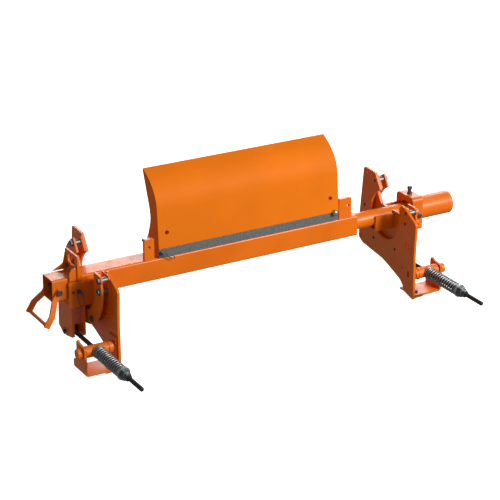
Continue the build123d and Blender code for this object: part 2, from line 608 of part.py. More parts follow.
with BuildPart() as saddle:
    with BuildSketch(across(SADDLE_FAR)):
        outline([
            ((-SADDLE_HALF, SADDLE_LEG), 0), ((SADDLE_HALF, SADDLE_LEG), 0), ((SADDLE_HALF, SADDLE_TOP), 20),
            ((-SADDLE_HALF, SADDLE_TOP), 20),
        ])
        with BuildLine():
            inner = SADDLE_HALF - SADDLE_PLATE
            FilletPolyline(
                (-inner, SADDLE_LEG), (inner, SADDLE_LEG), (inner, SADDLE_TOP - SADDLE_PLATE),
                (-inner, SADDLE_TOP - SADDLE_PLATE), radius=[0, 0, 12, 12], close=True,
            )
        make_face(mode=Mode.SUBTRACT)
    extrude(amount=SADDLE_FAR - SADDLE_NEAR)
    with BuildSketch(across(SADDLE_NEAR + SADDLE_PLATE)):
        outline([
            ((-SADDLE_HALF, -2), 0), ((SADDLE_HALF, -2), 0), ((SADDLE_HALF, SADDLE_TOP), 20),
            ((-SADDLE_HALF, SADDLE_TOP), 20),
        ])
        Circle(PIPE_RADIUS + 3, mode=Mode.SUBTRACT)
    extrude(amount=SADDLE_PLATE)
    with BuildSketch(facing(-100)):
        with BuildLine():
            Polyline(
                (SADDLE_NEAR - 5, -6), (SADDLE_NEAR, -6), (SADDLE_FAR - 22, -50), (SADDLE_FAR - 22, SADDLE_LEG - 5),
                (SADDLE_NEAR - 5, SADDLE_LEG - 5), close=True,
            )
        make_face()
    extrude(amount=200, mode=Mode.SUBTRACT)
    discs(facing(-100), [SADDLE_BOLT], 6.3, 200, mode=Mode.SUBTRACT)
    discs(level(0), [(JACK_X, 0)], JACK_RADIUS + HOLE_PLAY, 100, mode=Mode.SUBTRACT)
finish(saddle, "right_saddle")

with BuildPart() as saddle_bolts:
    for bolt_face in (SADDLE_HALF, -SADDLE_HALF - 8):
        hexagons(facing(bolt_face), [SADDLE_BOLT], 19, 8)
    for bolt_start in (SADDLE_HALF - 12, -SADDLE_HALF):
        discs(facing(bolt_start), [SADDLE_BOLT], 6, 12)
finish(saddle_bolts, "saddle_bolts")

with BuildPart() as jack_bolt:
    discs(level(PIPE_RADIUS), [(JACK_X, 0)], JACK_RADIUS, 52)
    with BuildSketch(level(PIPE_RADIUS + 50)):
        with Locations((JACK_X, 0)):
            Rectangle(17, 17)
    extrude(amount=14)
finish(jack_bolt, "jack_bolt")

with BuildPart() as jack_nut:
    hexagons(level(SADDLE_TOP), [(JACK_X, 0)], 24, 10, bore=JACK_RADIUS + 0.02)
finish(jack_nut, "jack_nut")
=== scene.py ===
"""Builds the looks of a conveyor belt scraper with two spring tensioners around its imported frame.

Everything is in metres: +X runs along the tube away from the handle, -Y towards the springs and +Z up.
"""

import json
import logging
import math
from dataclasses import dataclass, field
from enum import Enum
from typing import Callable, Iterable, Optional, Sequence, Union

import bmesh
import bpy
from mathutils import Matrix, Vector

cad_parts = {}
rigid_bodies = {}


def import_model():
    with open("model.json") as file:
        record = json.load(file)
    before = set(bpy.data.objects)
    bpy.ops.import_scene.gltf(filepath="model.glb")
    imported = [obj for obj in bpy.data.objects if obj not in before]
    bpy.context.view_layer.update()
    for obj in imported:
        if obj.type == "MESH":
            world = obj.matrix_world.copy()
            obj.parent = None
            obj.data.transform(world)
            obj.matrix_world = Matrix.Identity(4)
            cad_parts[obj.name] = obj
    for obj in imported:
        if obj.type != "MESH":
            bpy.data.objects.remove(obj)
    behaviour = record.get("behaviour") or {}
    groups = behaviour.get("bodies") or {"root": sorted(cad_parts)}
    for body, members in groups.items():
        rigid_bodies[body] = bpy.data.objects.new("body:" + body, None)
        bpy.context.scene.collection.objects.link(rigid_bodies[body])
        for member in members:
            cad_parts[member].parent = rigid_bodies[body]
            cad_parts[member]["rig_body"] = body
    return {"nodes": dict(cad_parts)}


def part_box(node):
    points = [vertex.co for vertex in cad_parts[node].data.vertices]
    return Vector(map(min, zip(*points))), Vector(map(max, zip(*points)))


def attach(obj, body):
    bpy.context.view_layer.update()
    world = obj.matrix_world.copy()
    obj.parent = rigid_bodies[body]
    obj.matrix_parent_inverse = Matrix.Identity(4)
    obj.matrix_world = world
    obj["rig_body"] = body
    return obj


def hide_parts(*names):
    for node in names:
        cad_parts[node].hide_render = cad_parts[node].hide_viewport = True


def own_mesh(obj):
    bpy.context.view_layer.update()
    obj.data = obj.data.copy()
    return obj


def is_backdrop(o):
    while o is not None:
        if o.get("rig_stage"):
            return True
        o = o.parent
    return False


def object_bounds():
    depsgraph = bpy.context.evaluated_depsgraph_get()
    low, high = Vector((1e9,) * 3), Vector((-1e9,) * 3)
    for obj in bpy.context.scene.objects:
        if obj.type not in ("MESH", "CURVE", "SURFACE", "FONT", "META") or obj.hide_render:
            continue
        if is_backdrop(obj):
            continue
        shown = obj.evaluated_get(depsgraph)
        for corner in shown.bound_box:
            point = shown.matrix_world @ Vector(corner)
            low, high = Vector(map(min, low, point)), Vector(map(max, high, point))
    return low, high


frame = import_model()

LOG = logging.getLogger("scraper")
MM = 0.001
MERGE_GAP = 0.001 * MM
FLAT_ANGLE = math.radians(0.5)
SHARP_ANGLE = math.radians(34)
SMOOTH_ANGLE = math.radians(48)
HELIX_SIDES = 12
NEAR_ZERO = 0.0001
Colour = tuple[float, float, float]
EVEN: Colour = (1.0, 1.0, 1.0)
WHITE = (1.0, 1.0, 1.0, 1.0)


class Side(Enum):
    """The two ends of the tube."""

    LEFT = -1
    RIGHT = 1

    @property
    def word(self) -> str:
        """The side's name as node and body names spell it."""
        return self.name.lower()


class Axis(Enum):
    """The three directions of the frame."""

    X = (1.0, 0.0, 0.0)
    Y = (0.0, 1.0, 0.0)
    Z = (0.0, 0.0, 1.0)

    @property
    def vector(self) -> Vector:
        """The direction as a vector."""
        return Vector(self.value)


class Signal:
    """A number that varies over a surface, which takes part in sums as a plain number does."""

    def __init__(self, shader: "Shader", socket: bpy.types.NodeSocket) -> None:
        """Wraps a node's output socket."""
        self.shader = shader
        self.socket = socket

    def __add__(self, other: "Value") -> "Signal":
        """self + other."""
        return self.shader.maths("ADD", self, other)

    def __radd__(self, other: "Value") -> "Signal":
        """other + self."""
        return self.shader.maths("ADD", other, self)

    def __sub__(self, other: "Value") -> "Signal":
        """self - other."""
        return self.shader.maths("SUBTRACT", self, other)

    def __rsub__(self, other: "Value") -> "Signal":
        """other - self."""
        return self.shader.maths("SUBTRACT", other, self)

    def __mul__(self, other: "Value") -> "Signal":
        """self * other."""
        return self.shader.maths("MULTIPLY", self, other)

    def __rmul__(self, other: "Value") -> "Signal":
        """other * self."""
        return self.shader.maths("MULTIPLY", other, self)

    def between(self, low: float, high: float) -> "Signal":
        """Rises smoothly from 0 at low to 1 at high.

        Args:
            low: the value where the result leaves 0.
            high: the value where the result reaches 1.

        Returns:
            The eased signal.
        """
        made = self.shader.node(
            "ShaderNodeMapRange",
            {"interpolation_type": "SMOOTHSTEP"},
            {"Value": self, "From Min": low, "From Max": high},
        )
        return Signal(self.shader, made.outputs["Result"])


Value = Union[Signal, float]


class Shader:
    """The nodes of one finish."""

    def __init__(self, name: str) -> None:
        """Starts a material with a principled surface."""
        self.material = bpy.data.materials.new(name)
        self.material.use_nodes = True
        self.tree = self.material.node_tree
        self.tree.nodes.clear()
        self.surface = self.node("ShaderNodeBsdfPrincipled")
        self.node("ShaderNodeOutputMaterial", inputs={"Surface": self.surface.outputs["BSDF"]})
        self.place = self.node("ShaderNodeTexCoord").outputs["Object"]

    def node(
        self, kind: str, settings: Optional[dict] = None, inputs: Optional[dict] = None
    ) -> bpy.types.Node:
        """Adds one node.

        Args:
            kind: the node's type.
            settings: what is set on the node before its sockets, such as its operation.
            inputs: values or links of its sockets, by socket name or number.

        Returns:
            The new node.
        """
        made = self.tree.nodes.new(kind)
        for key, value in (settings or {}).items():
            setattr(made, key, value)
        for key, value in (inputs or {}).items():
            self.feed(made.inputs[key], value)
        return made

    def feed(self, socket: bpy.types.NodeSocket, value: object) -> None:
        """Links or sets one socket.

        Args:
            socket: the input socket.
            value: a signal, an output socket, a number or a tuple.
        """
        if isinstance(value, Signal):
            self.tree.links.new(value.socket, socket)
        elif isinstance(value, bpy.types.NodeSocket):
            self.tree.links.new(value, socket)
        else:
            socket.default_value = value

    def maths(self, operation: str, first: Value, second: Value) -> Signal:
        """One sum of two values."""
        made = self.node("ShaderNodeMath", {"operation": operation}, {0: first, 1: second})
        return Signal(self, made.outputs[0])

    def noise(
        self, scale: float, detail: float = 3.0, stretch: Colour = EVEN, shift: float = 0.0
    ) -> Signal:
        """Cloudy noise over the piece.

        Args:
            scale: how many clouds fit in a metre.
            detail: how many finer layers are added.
            stretch: how much finer the clouds are along each direction.
            shift: moves the clouds, so that two noises differ.

        Returns:
            The noise, from 0 to 1.
        """
        spot = self.node(
            "ShaderNodeMapping", None, {"Vector": self.place, "Location": (shift,) * 3, "Scale": stretch}
        )
        made = self.node(
            "ShaderNodeTexNoise",
            {"noise_dimensions": "3D"},
            {"Vector": spot.outputs["Vector"], "Scale": scale, "Detail": detail},
        )
        return Signal(self, made.outputs[0])

    def cells(self, scale: float) -> Signal:
        """Crystal-like cells with one random tone each."""
        made = self.node("ShaderNodeTexVoronoi", {"feature": "F1"}, {"Vector": self.place, "Scale": scale})
        split = self.node("ShaderNodeSeparateColor", None, {"Color": made.outputs["Color"]})
        return Signal(self, split.outputs[0])

    def edges(self) -> Signal:
        """1 on the rounded edges of a piece and 0 on its faces."""
        made = self.node("ShaderNodeAttribute", {"attribute_name": "edge"})
        return Signal(self, made.outputs["Fac"])

    def facing_up(self) -> Signal:
        """1 where the surface faces up."""
        shape = self.node("ShaderNodeNewGeometry")
        split = self.node("ShaderNodeSeparateXYZ", None, {"Vector": shape.outputs["Normal"]})
        return Signal(self, split.outputs["Z"]).between(0.5, 1.0)

    def blend(self, mask: Value, first: object, second: object) -> bpy.types.NodeSocket:
        """Mixes two colours.

        Args:
            mask: 0 gives the first colour and 1 the second.
            first: a colour or a socket.
            second: a colour or a socket.

        Returns:
            The mixed colour's socket.
        """
        paints = [(*c, 1.0) if isinstance(c, tuple) else c for c in (first, second)]
        made = self.node("ShaderNodeMix", {"data_type": "RGBA"}, {0: mask, 6: paints[0], 7: paints[1]})
        return made.outputs[2]

    def finish(
        self,
        colour: object,
        roughness: Value,
        height: Signal,
        metallic: Value = 0.0,
        relief: float = 0.1 * MM,
    ) -> bpy.types.Material:
        """Feeds the surface.

        Args:
            colour: the base colour or its socket.
            roughness: the roughness.
            height: the fine relief.
            metallic: how metallic it is.
            relief: the relief's height in metres.

        Returns:
            The finished material.
        """
        bump = self.node("ShaderNodeBump", None, {"Height": height, "Distance": relief, "Strength": 1.0})
        for name, value in {
            "Base Color": colour,
            "Roughness": roughness,
            "Metallic": metallic,
            "Normal": bump.outputs["Normal"],
        }.items():
            self.feed(self.surface.inputs[name], value)
        return self.material


def tinted(colour: Colour, share: float) -> Colour:
    """A colour made lighter or darker by a share."""
    return tuple(min(1.0, part * share) for part in colour)


@dataclass(frozen=True)
class Finish:
    """One finish of the object: a named look, which carries the name of one of the record's material
    slots.
    """

    name: str
    slot: str
    colour: Colour
    roughness: float

    def material(self) -> bpy.types.Material:
        """The finish's material, made the first time it is asked for."""
        return bpy.data.materials.get(self.name) or self.lay(Shader(self.name))

    def lay(self, shader: Shader) -> bpy.types.Material:
        """Builds the look on an empty shader."""
        raise NotImplementedError


@dataclass(frozen=True)
class Enamel(Finish):
    """Sprayed semi-gloss enamel on plate: orange peel, a painted highlight that tints the edges lighter,
    and a few bare chips.
    """

    primer: Colour = (0.62, 0.28, 0.13)
    dust: Colour = (0.55, 0.42, 0.33)
    specular: float = 0.32
    coat: float = 0.10
    coat_roughness: float = 0.12

    def lay(self, shader: Shader) -> bpy.types.Material:
        """Builds the enamel."""
        cloud = shader.noise(6.0, 2.0)
        fine = shader.noise(95.0, 4.0, shift=3.0)
        edge = shader.edges()
        dust = shader.facing_up() * shader.noise(24.0, 4.0, shift=7.0).between(0.42, 0.72)
        colour = shader.blend(
            cloud.between(0.3, 0.7), tinted(self.colour, 0.94), tinted(self.colour, 1.05)
        )
        colour = shader.blend(dust * 0.10, colour, self.dust)
        # Painted highlight: the rounded edges are tinted a lighter orange, broken up by fine noise.
        colour = shader.blend(edge * fine.between(0.35, 0.65) * 0.45, colour, tinted(self.colour, 1.25))
        chips = edge * shader.noise(210.0, 3.0, shift=11.0).between(0.66, 0.70)
        colour = shader.blend(chips, colour, self.primer)
        scuff = shader.noise(14.0, 5.0, (1.0, 9.0, 9.0), 5.0).between(0.60, 0.72)
        roughness = self.roughness + cloud * 0.07 + fine * 0.05 + dust * 0.12 + scuff * 0.08
        peel = shader.noise(420.0, 2.0) * 0.6 + shader.noise(60.0, 2.0) * 0.8 - chips * 0.6
        self.gloss(shader)
        return shader.finish(colour, roughness, peel, relief=0.07 * MM)

    def gloss(self, shader: Shader) -> None:
        """Sets the clear layer of the enamel."""
        shader.surface.inputs["Specular IOR Level"].default_value = self.specular
        shader.surface.inputs["Coat Roughness"].default_value = self.coat_roughness
        shader.surface.inputs["Coat Weight"].default_value = self.coat


@dataclass(frozen=True)
class Urethane(Finish):
    """Cast urethane: satin, slightly cloudy, with faint flow marks and a painted highlight that makes the
    edges paler.
    """

    specular: float = 0.16

    def lay(self, shader: Shader) -> bpy.types.Material:
        """Builds the urethane."""
        cloud = shader.noise(3.5, 3.0)
        flow = shader.noise(16.0, 3.0, (1.0, 1.0, 0.18), 2.0)
        grain = shader.noise(520.0, 2.0)
        colour = shader.blend(
            cloud.between(0.3, 0.7), tinted(self.colour, 0.95), tinted(self.colour, 1.06)
        )
        colour = shader.blend(flow.between(0.55, 0.8) * 0.12, colour, tinted(self.colour, 0.80))
        # Painted highlight: the rounded edges are tinted paler.
        colour = shader.blend(shader.edges() * 0.35, colour, tinted(self.colour, 1.3))
        roughness = self.roughness + cloud * 0.10 + flow * 0.06
        shader.surface.inputs["Specular IOR Level"].default_value = self.specular
        return shader.finish(colour, roughness, grain * 0.5 + flow * 0.9, relief=0.10 * MM)


@dataclass(frozen=True)
class Metal(Finish):
    """Bare or coated steel with a grain along one direction, mottling and bright worn edges."""

    metallic: float = 0.8
    grain: Colour = EVEN
    mottle: float = 60.0
    rust: float = 0.0
    rust_colour: Colour = (0.20, 0.075, 0.025)

    def lay(self, shader: Shader) -> bpy.types.Material:
        """Builds the metal."""
        cloud = shader.noise(self.mottle, 4.0)
        line = shader.noise(300.0, 2.0, self.grain, 4.0)
        edge = shader.edges() * line.between(0.3, 0.7)
        colour = shader.blend(
            cloud.between(0.3, 0.7), tinted(self.colour, 0.78), tinted(self.colour, 1.22)
        )
        colour = shader.blend(edge * 0.6, colour, tinted(self.colour, 2.1))
        stain = shader.noise(38.0, 5.0, shift=9.0).between(0.62, 0.74) * self.rust
        colour = shader.blend(stain, colour, self.rust_colour)
        roughness = self.roughness + cloud * 0.16 - edge * 0.10 + stain * 0.30
        metallic = self.metallic - stain * 0.6
        return shader.finish(colour, roughness, line * 0.6 + cloud * 0.5, metallic, 0.06 * MM)


@dataclass(frozen=True)
class ZincPlate(Finish):
    """Zinc plate with soft crystal patches and a few dull spots."""

    metallic: float = 0.40

    def lay(self, shader: Shader) -> bpy.types.Material:
        """Builds the plating."""
        crystal = shader.cells(210.0)
        dull = shader.noise(45.0, 4.0, shift=6.0).between(0.5, 0.72)
        colour = shader.blend(crystal, tinted(self.colour, 0.86), tinted(self.colour, 1.12))
        colour = shader.blend(dull * 0.5, colour, tinted(self.colour, 0.66))
        roughness = self.roughness + crystal * 0.08 + dull * 0.18
        relief = crystal * 0.3 + shader.noise(380.0)
        return shader.finish(colour, roughness, relief, self.metallic, 0.04 * MM)


class Finishes:
    """Every finish that the scraper wears."""

    ENAMEL = Enamel("orange_enamel", "frame_paint", (0.810, 0.164, 0.0016), 0.30)
    BEAD = Enamel("orange_enamel_on_weld", "frame_paint", (0.770, 0.150, 0.0016), 0.34)
    URETHANE = Urethane("cast_urethane", "blade_urethane", (0.815, 0.178, 0.0008), 0.56)
    STRIP = Metal(
        "rolled_strip_steel",
        "strip_steel",
        (0.185, 0.196, 0.184),
        0.42,
        metallic=0.45,
        grain=(0.04, 1.0, 1.0),
        mottle=120.0,
        rust=0.18,
    )
    SPRING = Metal(
        "oiled_spring_steel",
        "spring_steel",
        (0.260, 0.275, 0.285),
        0.28,
        metallic=0.80,
        mottle=70.0,
        rust=0.10,
    )
    ROD = Metal(
        "black_oxide_rod",
        "rod_black",
        (0.050, 0.047, 0.043),
        0.34,
        metallic=0.60,
        grain=(1.0, 0.15, 1.0),
        mottle=55.0,
        rust=0.25,
    )
    BOLT = Metal(
        "blue_black_fasteners",
        "dark_fasteners",
        (0.085, 0.105, 0.125),
        0.34,
        metallic=0.60,
        mottle=90.0,
        rust=0.12,
    )
    SPACER = Metal(
        "turned_steel_spacers",
        "zinc_plate",
        (0.20, 0.21, 0.215),
        0.32,
        metallic=0.70,
        grain=(6.0, 1.0, 1.0),
        mottle=80.0,
        rust=0.15,
    )
    ZINC = ZincPlate("zinc_plate", "zinc_plate", (0.52, 0.54, 0.53), 0.34)


@dataclass(frozen=True)
class Box:
    """The lowest and highest corner of a node or of one solid of it."""

    low: Vector
    high: Vector

    @classmethod
    def of(cls, node: str) -> "Box":
        """The box of a CAD node."""
        return cls(*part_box(node))

    @property
    def centre(self) -> Vector:
        """The middle of the box."""
        return (self.low + self.high) / 2

    @property
    def size(self) -> Vector:
        """The box's three lengths."""
        return self.high - self.low


def cad_copy(node: str) -> bmesh.types.BMesh:
    """Copies a CAD node's mesh and merges its doubled points."""
    mesh = bmesh.new()
    mesh.from_mesh(frame["nodes"][node].data)
    bmesh.ops.remove_doubles(mesh, verts=mesh.verts, dist=MERGE_GAP)
    return mesh


def solids(node: str) -> list[Box]:
    """Finds the separate solids of a CAD node.

    Args:
        node: the node's name.

    Returns:
        The box of each solid, in order along X and then Z.
    """
    mesh = cad_copy(node)
    left, found = set(mesh.verts), []
    while left:
        group, waiting = set(), [left.pop()]
        while waiting:
            vert = waiting.pop()
            group.add(vert)
            near = {e.other_vert(vert) for e in vert.link_edges} & left
            left -= near
            waiting.extend(near)
        spans = [[v.co[i] for v in group] for i in range(3)]
        found.append(Box(Vector(map(min, spans)), Vector(map(max, spans))))
    mesh.free()
    return sorted(found, key=lambda box: (round(box.centre.x, 3), round(box.centre.z, 3)))


def rounded_copy(node: str, width: float) -> bmesh.types.BMesh:
    """Copies a CAD node's mesh and rounds its sharp edges, marking them for edge wear and painted edge
    highlight.

    Args:
        node: the node to copy.
        width: how far the rounding reaches from each edge.

    Returns:
        The new mesh.
    """
    mesh = cad_copy(node)
    bmesh.ops.dissolve_limit(
        mesh, angle_limit=FLAT_ANGLE, verts=mesh.verts, edges=mesh.edges, delimit=set()
    )
    # This mark feeds real edge wear and also the painted edge highlight of the enamel and urethane.
    worn = mesh.faces.layers.float.new("edge")
    sharp = [
        edge
        for edge in mesh.edges
        if len(edge.link_faces) == 2 and edge.calc_face_angle(0.0) > SHARP_ANGLE
    ]
    made = bmesh.ops.bevel(
        mesh,
        geom=sharp,
        offset=width,
        offset_type="OFFSET",
        segments=2,
        profile=0.6,
        affect="EDGES",
        clamp_overlap=True,
    )
    for face in made["faces"]:
        face[worn] = 1.0
    return mesh


def skinned(rings: Sequence[Sequence[Vector]], closed: bool = False) -> bmesh.types.BMesh:
    """Makes one closed skin over a row of rings.

    Args:
        rings: the rings' points, the same number in each.
        closed: whether the last ring joins the first, as round a hoop.

    Returns:
        The new mesh.
    """
    mesh = bmesh.new()
    rows = [[mesh.verts.new(point) for point in ring] for ring in rings]
    count = len(rows[0])
    pairs = list(zip(rows, rows[1:])) + ([(rows[-1], rows[0])] if closed else [])
    for first, second in pairs:
        for i in range(count):
            j = (i + 1) % count
            mesh.faces.new((first[i], first[j], second[j], second[i]))
    if not closed:
        mesh.faces.new(list(reversed(rows[0])))
        mesh.faces.new(rows[-1])
    bmesh.ops.recalc_face_normals(mesh, faces=mesh.faces)
    return mesh


def around(across: Vector, beside: Vector, turn: float) -> Vector:
    """The direction at an angle between two square directions."""
    return across * math.cos(turn) + beside * math.sin(turn)


def swept(
    path: Sequence[Vector],
    radius: Union[float, Callable[[int], float]],
    sides: int = 12,
    closed: bool = False,
) -> bmesh.types.BMesh:
    """Sweeps a round wire along a path.

    Args:
        path: the wire's middle line.
        radius: the wire's radius, or a function that gives it at each point.
        sides: how many sides the wire has.
        closed: whether the path joins up with its start.

    Returns:
        The wire's mesh.
    """
    rings, across = [], None
    last = len(path) - 1
    for i, point in enumerate(path):
        before = path[i - 1] if (i or closed) else point
        after = path[(i + 1) % len(path)] if (i < last or closed) else point
        along = (after - before).normalized()
        start = across or (Vector((0.3, 0.5, 0.8)) if abs(along.z) < 0.8 else Vector((1, 0.2, 0.1)))
        across = (start - along * start.dot(along)).normalized()
        beside = along.cross(across)
        size = radius(i) if callable(radius) else radius
        turns = [math.tau * k / sides for k in range(sides)]
        rings.append([point + around(across, beside, turn) * size for turn in turns])
    return skinned(rings, closed)


def turned(
    centre: Vector, axis: Axis, profile: Sequence[tuple[float, float]], sides: int = 40, flip: float = 1.0
) -> bmesh.types.BMesh:
    """Turns a closed profile round an axis, as on a lathe.

    Args:
        centre: a point on the axis.
        axis: the direction of the axis.
        profile: radius and distance along the axis of each corner.
        sides: how many sides the turned shape has.
        flip: -1 turns the shape end for end.

    Returns:
        The turned mesh, a closed hoop.
    """
    along = axis.vector * flip
    across = Axis.Z.vector if axis is not Axis.Z else Axis.X.vector
    beside = along.cross(across)
    rings = []
    for k in range(sides):
        out = around(across, beside, math.tau * k / sides)
        rings.append([centre + along * far + out * radius for radius, far in profile])
    return skinned(rings, closed=True)


def arc(
    centre: Vector, first: Vector, second: Vector, radius: float, start: float, end: float, steps: int
) -> list[Vector]:
    """Finds points on an arc in the plane of two directions.

    Args:
        centre: the arc's centre.
        first: the direction at 0 degrees.
        second: the direction at 90 degrees.
        radius: the arc's radius.
        start: the angle of the first point, in degrees.
        end: the angle of the last point, in degrees.
        steps: how many steps lie between them.

    Returns:
        The points, one more than the steps.
    """
    turns = [math.radians(start + (end - start) * i / steps) for i in range(steps + 1)]
    return [centre + first * math.cos(t) * radius + second * math.sin(t) * radius for t in turns]


@dataclass
class Assembly:
    """A group of pieces that are built and dressed together."""

    made: list[bpy.types.Object] = field(default_factory=list, init=False)

    def place(
        self,
        name: str,
        mesh: bmesh.types.BMesh,
        body: str,
        finish: Finish,
        replaces: Sequence[str] = (),
    ) -> bpy.types.Object:
        """Turns a mesh into a piece that rides on a body and wears a finish.

        Args:
            name: the piece's name.
            mesh: its mesh, which is used up.
            body: the CAD body that it moves with.
            finish: what it wears.
            replaces: CAD nodes that it stands for.

        Returns:
            The new piece.
        """
        data = bpy.data.meshes.new(name)
        mesh.to_mesh(data)
        mesh.free()
        data.shade_smooth()
        data.set_sharp_from_angle(angle=SMOOTH_ANGLE)
        data.materials.append(finish.material())
        piece = bpy.data.objects.new(name, data)
        bpy.context.scene.collection.objects.link(piece)
        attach(piece, body)
        if replaces:
            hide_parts(*replaces)
        self.made.append(piece)
        LOG.info("%s: %d faces on %s in %s", name, len(data.polygons), body, finish.name)
        return piece

    def round_off(self, node: str, finish: Finish, width: float = 1.2 * MM) -> bpy.types.Object:
        """Stands a copy with rounded edges, marked for edge wear and painted edge highlight, in a CAD
        node's place.

        Args:
            node: the CAD node.
            finish: what the copy wears.
            width: how far the rounding reaches from each edge.

        Returns:
            The copy.
        """
        body = frame["nodes"][node]["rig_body"]
        piece = self.place(f"{node}_shown", rounded_copy(node, width), body, finish, [node])
        even = piece.modifiers.new("even_normals", "WEIGHTED_NORMAL")
        even.keep_sharp = True
        even.weight = 60
        return piece

    def weld(
        self, name: str, body: str, path: Sequence[Vector], size: float = 3.2 * MM
    ) -> bpy.types.Object:
        """Lays a rippled weld bead along a path.

        Args:
            name: the bead's name.
            body: the CAD body that it moves with.
            path: corners of the bead's line.
            size: the bead's radius.

        Returns:
            The bead.
        """
        line: list[Vector] = []
        for start, end in zip(path, path[1:]):
            count = max(2, int((end - start).length / (1.3 * MM)))
            line.extend(start.lerp(end, i / count) for i in range(count))
        line.append(path[-1])
        ends = len(line) - 1

        def ripple(i: int) -> float:
            """The bead's radius: small scallops that fade at both ends."""
            fade = min(1.0, (min(i, ends - i) + 1) / 4)
            return size * fade * (0.88 + 0.12 * math.sin(i * 1.9) + 0.05 * math.sin(i * 0.37 + 2))

        return self.place(name, swept(line, ripple, 10), body, Finishes.BEAD)

    def build(self) -> None:
        """Builds and dresses the group."""
        raise NotImplementedError


@dataclass
class Crossbar(Assembly):
    """The square tube, the mandrel inside it and the round pipe at the right end."""

    bead: float = 3.4 * MM
    bead_steps: int = 48

    def build(self) -> None:
        """Builds the tubes and the weld round the mandrel."""
        for node in ("main_tube", "mandrel_tube", "mandrel_rings", "end_pipe"):
            self.round_off(node, Finishes.ENAMEL, 0.9 * MM)
        tube, mandrel = Box.of("main_tube"), Box.of("mandrel_tube")
        spot = Vector((tube.high.x + 1 * MM, mandrel.centre.y, mandrel.centre.z))
        reach = mandrel.size.z / 2 + 1.5 * MM
        ring = arc(spot, Axis.Y.vector, Axis.Z.vector, reach, 0, 360, self.bead_steps)
        self.weld("mandrel_weld", "mainframe", ring, self.bead)


@dataclass
class Scraper(Assembly):
    """The blade, its holder and retainer strip, the end tabs and the pull pin."""

    stitch: float = 62 * MM
    pitch: float = 142 * MM
    wire: float = 1.6 * MM
    gap: float = 5.5 * MM
    slope: float = math.radians(-30)
    foot_bead: float = 2.6 * MM
    tab_bead: float = 2.4 * MM

    def build(self) -> None:
        """Builds the blade and all that holds it."""
        self.round_off("scraper_blade", Finishes.URETHANE, 1.6 * MM)
        self.round_off("blade_holder", Finishes.ENAMEL)
        self.round_off("retainer_strip", Finishes.STRIP, 0.9 * MM)
        self.round_off("holder_end_tabs", Finishes.ENAMEL, 1.4 * MM)
        self.round_off("tab_bolts", Finishes.BOLT, 0.9 * MM)
        self.round_off("blade_pull_pin", Finishes.BOLT, 1.0 * MM)
        self.ball_stud()
        self.hairpin()
        self.stitch_welds()

    def ball_stud(self) -> None:
        """Turns the round stud head at the strip's right end, with its collar."""
        stud = Box.of("strip_stud")
        radius, long = stud.size.z / 2, stud.size.y
        steps = 10
        crown = []
        for i in range(steps):
            turn = math.pi / 2 * i / steps
            crown.append((radius * math.cos(turn), long - radius * 0.8 * (1 - math.sin(turn))))
        shoulder = (radius, long - radius * 0.8 - 1 * MM)
        profile = [(NEAR_ZERO, 0.0), (radius, 0.0), shoulder, *crown, (NEAR_ZERO, long)]
        centre = Vector((stud.centre.x, stud.high.y, stud.centre.z))
        mesh = turned(centre, Axis.Y, profile, 36, -1.0)
        self.place("strip_stud_shown", mesh, "mainframe", Finishes.ZINC, ["strip_stud"])

    def hairpin(self) -> None:
        """Bends the spring clip of the pull pin: one straight leg and one waved leg."""
        box = Box.of("blade_pin_hairpin")
        along = Vector((math.cos(self.slope), 0, math.sin(self.slope)))
        over = Vector((-along.z, 0, along.x))
        half = box.size.x / 2 - self.wire - 1 * MM
        gap = self.gap
        bend = arc(box.centre + along * (half - gap), along, over, gap, -90, 90, 12)
        straight = [box.centre - along * half - over * gap, *bend]
        waves = [
            (0.62, 1.0),
            (0.45, 0.55),
            (0.22, -0.25),
            (0.0, -0.55),
            (-0.2, -0.2),
            (-0.45, 0.6),
            (-0.8, 1.5),
        ]
        waved = [box.centre + along * half * far + over * gap * up for far, up in waves]
        self.place(
            "blade_pin_hairpin_shown",
            swept(straight + waved, self.wire, 10),
            "pull_pin",
            Finishes.BOLT,
            ["blade_pin_hairpin"],
        )

    def stitch_welds(self) -> None:
        """Lays stitch welds along both feet of the holder and across the tabs' feet."""
        holder, tube = Box.of("blade_holder"), Box.of("main_tube")
        top = tube.high.z
        count = int(holder.size.x / self.pitch)
        for row, y in enumerate((holder.low.y + 0.5 * MM, holder.high.y - 0.5 * MM)):
            for i in range(count + 1):
                x = holder.low.x + 20 * MM + i * (holder.size.x - self.stitch - 40 * MM) / count
                seat = min(max(y, tube.low.y + 2 * MM), tube.high.y - 2 * MM)
                ends = [Vector((x, seat, top)), Vector((x + self.stitch, seat, top))]
                self.weld(f"holder_weld_{row}_{i}", "mainframe", ends, self.foot_bead)
        for i, tab in enumerate(solids("holder_end_tabs")):
            inset, y = 3 * MM, tab.low.y
            ends = [Vector((tab.low.x + inset, y, top)), Vector((tab.high.x - inset, y, top))]
            self.weld(f"tab_weld_{i}", "mainframe", ends, self.tab_bead)


